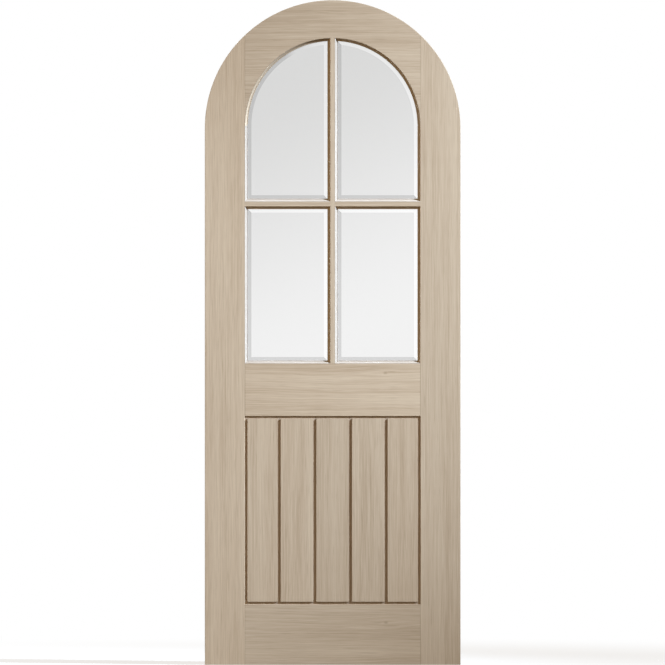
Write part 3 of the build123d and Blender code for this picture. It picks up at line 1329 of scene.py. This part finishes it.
    def brad_slots(self, runs: list[BeadRun], arched: bool) -> dict[str, list[Piece]]:
        """Cutters for the slots that the brads take in the back beads of a left light.

        Args:
            runs: The straight edges.
            arched: Whether the light has an arch.

        Returns:
            Cutters by the name of their edge.
        """
        s = self.sizes
        depth = Vector((0, s.half_thickness - self.brad_depth, 0))
        places = {run.name: [(run.start + run.along * self.brad_inset, run.inward),
                             (run.end - run.along * self.brad_inset, run.inward)]
                  for run in runs}
        if arched:
            out = [Vector((-math.cos(angle), 0, math.sin(angle)))
                   for angle in map(math.radians, self.brad_angles_deg)]
            centre = Vector((0, 0, s.arch_springing))
            places["arch"] = [(centre + way * s.opening_half, -way) for way in out]
        found = {}
        for name, marks in places.items():
            found[name] = []
            for at, inward in marks:
                bpy.ops.mesh.primitive_cube_add(size=1)
                cutter = bpy.context.object
                cutter.scale = (self.slot_reach * s.bead_width, self.slot_thickness,
                                self.slot_length)
                frame = Matrix((inward, (0, 1, 0), inward.cross(Vector((0, 1, 0))))).transposed()
                cutter.rotation_euler = frame.to_euler()
                cutter.location = at + depth + inward * s.bead_width / 2
                settle(cutter)
                found[name].append(cutter)
        return found

    def light(self, tier: str, face: Face) -> dict[str, Piece]:
        """The beads of a left light on one face.

        Args:
            tier: Top or bottom.
            face: The face of the leaf.

        Returns:
            The beads by the name of their edge.
        """
        s = self.sizes
        arched = tier == "top"
        low, high = (s.cross_high, s.crown) if arched else (s.mid_high, s.cross_low)
        jamb, bar, width = -s.opening_half, -s.bar_half, s.bead_width
        jamb_in, bar_in = jamb + width, bar - width
        bar_top = s.arch_height(bar) if arched else high
        bar_top_in = s.arch_height(bar_in, width) if arched else high - width
        jamb_top = s.arch_springing if arched else high
        jamb_top_in = s.arch_springing if arched else high - width
        outer = [Vector((jamb, 0, low)), Vector((bar, 0, low)), Vector((bar, 0, bar_top)),
                 Vector((jamb, 0, jamb_top))]
        inner = [Vector((jamb_in, 0, low + width)), Vector((bar_in, 0, low + width)),
                 Vector((bar_in, 0, bar_top_in)), Vector((jamb_in, 0, jamb_top_in))]
        names = ("sill", "bar", "head", "jamb")
        runs = [BeadRun(name, outer[i], outer[i - 3], inner[i], inner[i - 3])
                for i, name in enumerate(names) if not (arched and name == "head")]
        side = face.name.lower()
        beads = {run.name: self.straight(run, face, f"{side}_bead_{tier}_left_{run.name}_oak")
                 for run in runs}
        if arched:
            beads["arch"] = self.arched(outer[2], inner[2], face,
                                        f"{side}_bead_{tier}_left_arch_oak")
        for bead in beads.values():
            soften(bead, self.edge)
        if face is Face.BACK:
            for name, cutters in self.brad_slots(runs, arched).items():
                combine(beads[name], cutters, "DIFFERENCE")
        return beads

    def build(self, finishes: dict[str, tuple[Material, Material]]) -> None:
        """Make and dress all the beads.

        Args:
            finishes: Oak for the left and the right light, by the name of the edge. They are
            lit and shaded copies of the bead oak, toned as painted light and shade.
        """
        for face in Face:
            for tier in ("top", "bottom"):
                for edge, bead in self.light(tier, face).items():
                    node = f"{face.name.lower()}_bead_{tier}_left_{edge}"
                    twin = node.replace("left", "right")
                    pair = ((bead, node), (mirrored(bead, f"{twin}_oak"), twin))
                    for (piece, name), finish in zip(pair, finishes[edge]):
                        fair(piece)
                        hand_over(piece, finish, "oak_bead", name)


@dataclass
class Panes:
    """Four panes of glass with a wide bevel ground on the front.

    The gap is the room between a pane and the wood round it. The bevel leans by six degrees, so
    a smooth_angle of half that rounds the arc's facets and keeps the bevel's own edges sharp.
    """

    sizes: LeafSizes
    gap: float = 1.5 * MM
    bevel_width: float = 18.0 * MM
    bevel_depth: float = 2.0 * MM
    arc_steps: int = 160
    smooth_angle: float = math.radians(3)

    def arched_blank(self, low: Vector, high: Vector) -> Piece:
        """A top left pane with its arch already bevelled.

        Args:
            low: Lowest corner of the pane.
            high: Highest corner of the pane.

        Returns:
            The blank.
        """
        s = self.sizes
        radius = s.opening_half - self.gap
        bpy.ops.mesh.primitive_circle_add(vertices=2 * self.arc_steps, radius=radius,
                                          fill_type="NGON", rotation=(QUARTER_TURN, 0, 0),
                                          location=(0, high.y, s.arch_springing))
        piece = bpy.context.object
        settle(piece)
        body = low.y + self.bevel_depth - high.y
        shrink = (radius - self.bevel_width) / radius
        with editing(piece, "FACE"):
            bpy.ops.mesh.select_all(action="SELECT")
            bpy.ops.mesh.extrude_region_move(TRANSFORM_OT_translate={"value": (0, body, 0)})
            bpy.ops.mesh.extrude_region_move(
                TRANSFORM_OT_translate={"value": (0, -self.bevel_depth, 0)})
            bpy.ops.transform.resize(value=(shrink, 1, shrink),
                                     center_override=(0, low.y, s.arch_springing))
        close_up(piece)
        saw(piece, Vector((0, 0, s.arch_springing)), Vector((0, 0, -1)))
        with editing(piece, "FACE"):
            pick(piece, "FACE", lambda f: f.calc_center_median().z <
                 s.arch_springing + SAME_PLACE)
            bpy.ops.mesh.extrude_region_move(
                TRANSFORM_OT_translate={"value": (0, 0, low.z - s.arch_springing)})
        close_up(piece)
        saw(piece, high, Vector((1, 0, 0)))
        return piece

    def grind(self, piece: Piece, edge: Vector, outward: Vector, front: float) -> None:
        """Grind the bevel along one straight edge.

        Args:
            piece: The pane.
            edge: A point of the edge.
            outward: Unit direction out of the pane, across the edge.
            front: Depth of the pane's front face.
        """
        foot = Vector((edge.x, front + self.bevel_depth, edge.z))
        waste = outward * self.bevel_depth - Vector((0, self.bevel_width, 0))
        saw(piece, foot, waste.normalized())

    def pane(self, tier: str) -> Piece:
        """A left pane with its bevel.

        Args:
            tier: Top or bottom.

        Returns:
            The pane.
        """
        low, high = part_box(f"glass_{tier}_left")
        edges = [(high, Vector((1, 0, 0))), (low, Vector((0, 0, -1)))]
        if tier == "top":
            piece = self.arched_blank(low, high)
        else:
            piece = block("pane", low, high)
            edges += [(low, Vector((-1, 0, 0))), (high, Vector((0, 0, 1)))]
        piece.name = f"glass_{tier}_left_pane"
        for edge, outward in edges:
            self.grind(piece, edge, outward, low.y)
        return piece

    def build(self, finish: Material) -> None:
        """Make and dress the panes.

        Args:
            finish: The glass.
        """
        for tier in ("top", "bottom"):
            pane = self.pane(tier)
            node = f"glass_{tier}_left"
            twin = f"glass_{tier}_right"
            for piece, name in ((pane, node), (mirrored(pane, f"{twin}_pane"), twin)):
                select_only(piece)
                bpy.ops.object.shade_smooth_by_angle(angle=self.smooth_angle)
                hand_over(piece, finish, "glass", name)


@dataclass
class BoardPanel:
    """Tongued and grooved boards, rebated on every edge so that a channel shows round each.

    Two boards share the channel between them, half each, and along the frame a board has the
    whole of it.
    """

    sizes: LeafSizes
    channel_half: float = 4.5 * MM
    border_channel: float = 8.0 * MM
    channel_depth: float = 3.0 * MM
    tongue_ease: float = 0.1 * MM
    edge: float = 0.2 * MM

    def board(self, index: int) -> Piece:
        """One board, with a tongue towards the right and at both ends.

        Args:
            index: Its place from the left, from 0.

        Returns:
            The board.
        """
        s = self.sizes
        left, right = s.board_joints[index:index + 2]
        back, cheek, reach = s.half_thickness, s.tongue_half - self.tongue_ease, s.tongue
        low, high = s.panel_low, s.mid_low
        first, last = index == 0, index == len(s.board_joints) - 2
        border = self.border_channel
        core = back - self.channel_depth
        face_left = left + (border if first else self.channel_half)
        face_right = right - (border if last else self.channel_half)
        piece = block(f"panel_board_{index + 1}_oak", Vector((face_left, -back, low + border)),
                      Vector((face_right, back, high - border)))
        combine(piece, [block("core", Vector((left, -core, low)), Vector((right, core, high)))],
                "UNION")
        soften(piece, self.edge)
        tongues = [block("tongue", Vector((left, -cheek, low - reach)),
                         Vector((right, cheek, high + reach)))]
        ends = 0 if last else reach
        tongues += [block("tongue", Vector((right - OVERRUN, -cheek, low - ends)),
                          Vector((right + reach, cheek, high + ends)))]
        if first:
            tongues += [block("tongue", Vector((left - reach, -cheek, low)),
                              Vector((left + OVERRUN, cheek, high)))]
        combine(piece, tongues, "UNION")
        if not first:
            groove = block("groove", Vector((left - OVERRUN, -s.tongue_half, low - 2 * reach)),
                           Vector((left + reach + OVERRUN, s.tongue_half, high + 2 * reach)))
            combine(piece, [groove], "DIFFERENCE")
        close_up(piece)
        fair(piece)
        return piece

    def build(self, finishes: list[Material]) -> None:
        """Make and dress the boards.

        Args:
            finishes: Oak for each board, from the left.
        """
        for index, finish in enumerate(finishes):
            hand_over(self.board(index), finish, "oak_board", f"panel_board_{index + 1}")


@dataclass
class HiddenJoinery:
    """Tenons, packers, bedding and brads: their nodes stay, and get a finish."""

    nodes: dict[str, Piece]

    def dress(self, word: str, finish: Material) -> None:
        """Put one finish on every node whose name has a word in it.

        Args:
            word: The word.
            finish: The finish.
        """
        for name, node in self.nodes.items():
            if word in name:
                node.data.materials.clear()
                node.data.materials.append(finish)
                log.info("%s: finish %s", name, finish.name)

    def build(self) -> None:
        """Dress them all."""
        finishes = {
            # Beech off the saw: a warm pinkish tan, matt and close in its figure
            "slip_tenon": PlainFinish("beech_sawn", "cfae88", "bb9670", mottle_mm=6.0,
                                      roughness=0.7),
            # Moulded polypropylene: charcoal, with the dull sheen of an etched mould
            "packers": PlainFinish("polypropylene_moulded", "3c3c3a", "2e2e2d", mottle_mm=2.0,
                                   roughness=0.45),
            # Acrylic mastic smoothed with a tool: off-white, matt and slightly uneven
            "glazing_bed": PlainFinish("acrylic_mastic_tooled", "d9d6cf", "c9c5bc",
                                       mottle_mm=3.0, roughness=0.6),
            # Steel wire dipped in zinc: a cool pale grey metal with a faint spangle
            "brads": PlainFinish("galvanised_steel_wire", "b4b5b4", "989a9a", mottle_mm=0.8,
                                 roughness=0.35, metallic=1.0),
        }
        for word, finish in finishes.items():
            self.dress(word, finish.build())


@dataclass
class Studio:
    """A pale floor, a white surround, a soft key from the upper right, and the camera.

    Distances and places are in metres, and the sensor is in millimetres.
    """

    sizes: LeafSizes
    photo_height_px: float = 665.0
    leaf_height_px: float = 664.7
    camera_distance: float = 26.0
    camera_aside: float = -0.5 * MM
    sensor: float = 36.0
    floor_size: float = 14.0
    floor_paint: str = "ececea"
    floor_bounce: str = "615a51"
    floor_roughness: float = 0.9
    white_range: tuple[float, float] = (0.5, 2.4)
    white_share: float = 0.72
    lamp_distance: float = 10.0
    lamp_target: tuple[float, float, float] = (0.4, 0.0, 1.3)
    lamp_cone_deg: float = 16.0
    lamp_radius: float = 0.33
    lamp_colour: str = "dbebff"
    key_rise_deg: float = 15.5
    key_turn_deg: float = 32.0
    key_watts: float = 16600.0
    steep_rise_deg: float = 30.0
    steep_share: float = 0.53
    steep_cone_deg: float = 17.5
    steeply_lit: tuple[str, ...] = ("right_stile_oak", "head_rail_oak")
    back_way: tuple[float, float, float] = (-0.5, 0.7, 0.5)
    back_watts: float = 7200.0
    fill_colour: str = "ffdba6"
    fill: float = 0.43
    fill_from_left: float = 0.8

    def surround(self) -> None:
        """White where the camera looks, and a soft warm fill, more from the left, for the rest."""
        world = bpy.data.worlds.new("studio")
        bpy.context.scene.world = world
        world.use_nodes = True
        tree = world.node_tree
        tree.nodes.clear()
        white = add_node(tree, "ShaderNodeBackground", {"Color": linear(WHITE),
                                                        "Strength": 1.0})
        way = add_node(tree, "ShaderNodeTexCoord").outputs["Generated"]
        side = add_node(tree, "ShaderNodeSeparateXYZ", (way,)).outputs["X"]
        strength = add_node(tree, "ShaderNodeMapRange",
                            (side, -1.0, 1.0, self.fill * (1 + self.fill_from_left),
                             self.fill * (1 - self.fill_from_left))).outputs[0]
        soft = add_node(tree, "ShaderNodeBackground", {"Color": linear(self.fill_colour),
                                                       "Strength": strength})
        mix = add_node(tree, "ShaderNodeMixShader",
                       (self.seen_ray(tree), soft.outputs[0], white.outputs[0]))
        add_node(tree, "ShaderNodeOutputWorld", {"Surface": mix.outputs[0]})

    def seen_ray(self, tree: Tree) -> Socket:
        """One where a surface is seen directly, in a reflection or through glass.

        Args:
            tree: A node tree.

        Returns:
            A value socket.
        """
        path = add_node(tree, "ShaderNodeLightPath").outputs
        seen = path["Is Camera Ray"]
        for kind in ("Is Glossy Ray", "Is Transmission Ray"):
            seen = add_node(tree, "ShaderNodeMath", (seen, path[kind]),
                            operation="MAXIMUM").outputs[0]
        # No diffuse bounce yet: a whole number below a half
        first = add_node(tree, "ShaderNodeMath", (path["Diffuse Depth"], 0.5),
                         operation="LESS_THAN").outputs[0]
        return add_node(tree, "ShaderNodeMath", (seen, first), operation="MULTIPLY").outputs[0]

    def floor(self) -> None:
        """A plain pale floor. It keeps a light shadow, and away from the leaf it is white.

        Under the leaf it is white_share of the way to white, and all the way at the end of
        white_range. What it throws up at the leaf is the browner and darker floor_bounce.
        """
        bpy.ops.mesh.primitive_plane_add(size=self.floor_size, location=(0, 0, 0))
        floor = bpy.context.object
        floor.name = "studio_floor"
        material, tree, shader = new_material("painted_board_floor")
        seen = self.seen_ray(tree)
        paint = add_node(tree, "ShaderNodeMix", {"Factor": seen, "A": linear(self.floor_bounce),
                                                 "B": linear(self.floor_paint)},
                         data_type="RGBA").outputs["Result"]
        tree.links.new(paint, shader.inputs["Base Color"])
        shader.inputs["Roughness"].default_value = self.floor_roughness
        place = add_node(tree, "ShaderNodeTexCoord").outputs["Object"]
        reach = add_node(tree, "ShaderNodeVectorMath", (place,),
                         operation="LENGTH").outputs["Value"]
        fade = add_node(tree, "ShaderNodeMapRange",
                        (reach, *self.white_range, self.white_share, 1.0),
                        interpolation_type="SMOOTHSTEP").outputs[0]
        share = add_node(tree, "ShaderNodeMath", (seen, fade), operation="MULTIPLY").outputs[0]
        glow = add_node(tree, "ShaderNodeEmission", {"Color": linear(WHITE), "Strength": 1.0})
        mix = add_node(tree, "ShaderNodeMixShader", (share, shader.outputs[0], glow.outputs[0]))
        output = next(n for n in tree.nodes if n.type == "OUTPUT_MATERIAL")
        tree.links.new(mix.outputs[0], output.inputs["Surface"])
        floor.data.materials.append(material)
        floor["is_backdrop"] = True

    def lamp(self, name: str, way: Vector, watts: float, cone_deg: float) -> Piece:
        """A soft round lamp that looks at lamp_target, to the right of the leaf's middle.

        Args:
            name: Name of the lamp.
            way: Unit direction from lamp_target to the lamp.
            watts: Its power.
            cone_deg: Full angle of its beam, in degrees.

        Returns:
            The lamp.
        """
        place = Vector(self.lamp_target) + way * self.lamp_distance
        bpy.ops.object.light_add(type="SPOT", location=place)
        lamp = bpy.context.object
        lamp.name = name
        lamp.data.energy = watts
        lamp.data.color = linear(self.lamp_colour)[:3]
        lamp.data.shadow_soft_size = self.lamp_radius
        lamp.data.spot_size = math.radians(cone_deg)
        lamp.data.spot_blend = 1.0
        lamp.rotation_euler = (-way).to_track_quat("-Z", "Y").to_euler()
        return lamp

    def link(self, lamp: Piece, state: str) -> None:
        """Let a lamp light only the steeply lit members, or all but those.

        Args:
            lamp: The lamp.
            state: INCLUDE or EXCLUDE.
        """
        members = bpy.data.collections.new(f"{lamp.name}_members")
        for name in self.steeply_lit:
            members.objects.link(bpy.data.objects[name])
        for entry in members.collection_objects:
            entry.light_linking.link_state = state
        lamp.light_linking.receiver_collection = members

    def lamps(self) -> None:
        """Light the front from the upper right, and the back from its own upper right.

        The key rakes the front so low that it would burn out the outer edges that face it. The
        two members that have those edges get a steeper and weaker lamp from the same side.
        """
        turn = math.radians(self.key_turn_deg)
        for name, rise_deg, share, cone_deg, state in (
                ("key_light", self.key_rise_deg, 1.0, self.lamp_cone_deg, "EXCLUDE"),
                ("steep_key_light", self.steep_rise_deg, self.steep_share,
                 self.steep_cone_deg, "INCLUDE")):
            rise = math.radians(rise_deg)
            way = Vector((math.cos(rise) * math.cos(turn), -math.sin(rise),
                          math.cos(rise) * math.sin(turn)))
            self.link(self.lamp(name, way, share * self.key_watts, cone_deg), state)
        self.lamp("back_light", Vector(self.back_way).normalized(), self.back_watts,
                  self.lamp_cone_deg)

    def camera(self) -> None:
        """A long lens, square on to the leaf, with the photograph's framing."""
        s = self.sizes
        middle = s.height / 2
        frame_height = s.height * self.photo_height_px / self.leaf_height_px
        distance = self.camera_distance - s.half_thickness
        bpy.ops.object.camera_add(location=(self.camera_aside, -self.camera_distance, middle),
                                  rotation=(QUARTER_TURN, 0, 0))
        camera = bpy.context.object
        camera.name = "photo_camera"
        camera.data.sensor_width = self.sensor
        camera.data.lens = self.sensor * distance / frame_height
        camera.data.clip_end = 4 * self.camera_distance
        bpy.context.scene.camera = camera

    def build(self) -> None:
        """Set up the studio."""
        bpy.context.scene.view_settings.view_transform = "Standard"
        self.surround()
        self.floor()
        self.lamps()
        self.camera()


def main() -> None:
    """Build the leaf's looks and the studio."""
    logging.basicConfig(level=logging.INFO, format="%(name)s: %(message)s")
    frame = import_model()
    sizes = LeafSizes.from_frame()
    centre = sizes.arch_springing

    def oak(name: str, grain: Grain, seed: float, tone: float = 1.0,
            **traits: object) -> Material:
        """Oak for one piece, with a seed of its own so that no two pieces match.

        Args:
            name: Name of the material.
            grain: Which way its grain runs.
            seed: Where in the tree it was cut.
            tone: Paler or darker than the rest: partly the wood's own tone, and partly painted
                light and shade.
            **traits: Other values of the finish.

        Returns:
            The material.
        """
        return OakFinish(name, grain, seed, centre, tone, **traits).build()

    # Each member has a tone of its own. Part of it is the wood's own, as the members aren't all
    # sawn from one board, and part is painted light and shade, which sets how bright each member
    # shows under the lamps.
    level = {"wander_mm": 14.0, "shoulder": sizes.opening_half}
    LeafFrame(sizes).build({
        "left_stile": oak("oak_left_stile", Grain.UPRIGHT, seed=1.0, tone=1.06),
        "right_stile": oak("oak_right_stile", Grain.UPRIGHT, seed=2.0, tone=0.955),
        "head_rail": oak("oak_head_rail", Grain.LEVEL, seed=3.0, tone=0.95, **level,
                         shoulder_darkness=0.3),
        "mid_rail": oak("oak_mid_rail", Grain.LEVEL, seed=4.0, tone=1.06, **level,
                        shoulder_darkness=0.65, knot=PinKnot(x=157 * MM, z=870 * MM)),
        "bottom_rail": oak("oak_bottom_rail", Grain.LEVEL, seed=5.0, tone=0.96, **level,
                           shoulder_darkness=0.4, knot=PinKnot(x=159 * MM, z=126 * MM)),
    })
    GlazingBars(sizes).build({
        "upright_bar": oak("oak_upright_bar", Grain.UPRIGHT, seed=6.0),
        "cross_bar": oak("oak_cross_bar", Grain.LEVEL, seed=7.0),
    })
    # Lit and shaded copies of the bead oak, as painted light and shade. A bead that faces the key
    # is made deeper and greyer, or the key would turn it white, and one that faces away keeps a
    # paler tone, which lifts its shade.
    greyed = {"pale": "d1c6b8", "body": "c6bbae", "deep": "b0a18e"}
    lit = oak("oak_upright_bead_1", Grain.UPRIGHT, seed=8.0, tone=0.7, **greyed)
    shaded = oak("oak_upright_bead_2", Grain.UPRIGHT, seed=8.5, tone=0.92)
    sill = oak("oak_level_bead_1", Grain.LEVEL, seed=9.0, tone=0.82, **greyed)
    head = oak("oak_level_bead_2", Grain.LEVEL, seed=9.5, tone=1.15)
    arch = (oak("oak_arch_bead_1", Grain.ROUND_THE_ARCH, seed=10.0, tone=0.8),
            oak("oak_arch_bead_2", Grain.ROUND_THE_ARCH, seed=10.5, tone=0.9))
    Beads(sizes).build({"jamb": (lit, shaded), "bar": (shaded, lit), "sill": (sill, sill),
                        "head": (head, head), "arch": arch})
    glass_low, glass_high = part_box("glass_top_left")
    glass = GlassFinish("float_glass_bevelled", clear_from=(glass_low.y + glass_high.y) / 2)
    Panes(sizes).build(glass.build())
    # The boards' tones are partly their own and partly painted light and shade, as with the
    # members
    board_tones_and_shade = (1.01, 1.01, 0.96, 0.97, 0.99)
    # The boards' oak gets painted shade in its channels, below their face
    BoardPanel(sizes).build([oak(f"oak_board_{i + 1}", Grain.UPRIGHT, seed=11.0 + i, tone=tone,
                                 channel_level=sizes.half_thickness)
                             for i, tone in enumerate(board_tones_and_shade)])
    HiddenJoinery(frame["nodes"]).build()
    Studio(sizes).build()


if __name__ == "__main__":
    main()
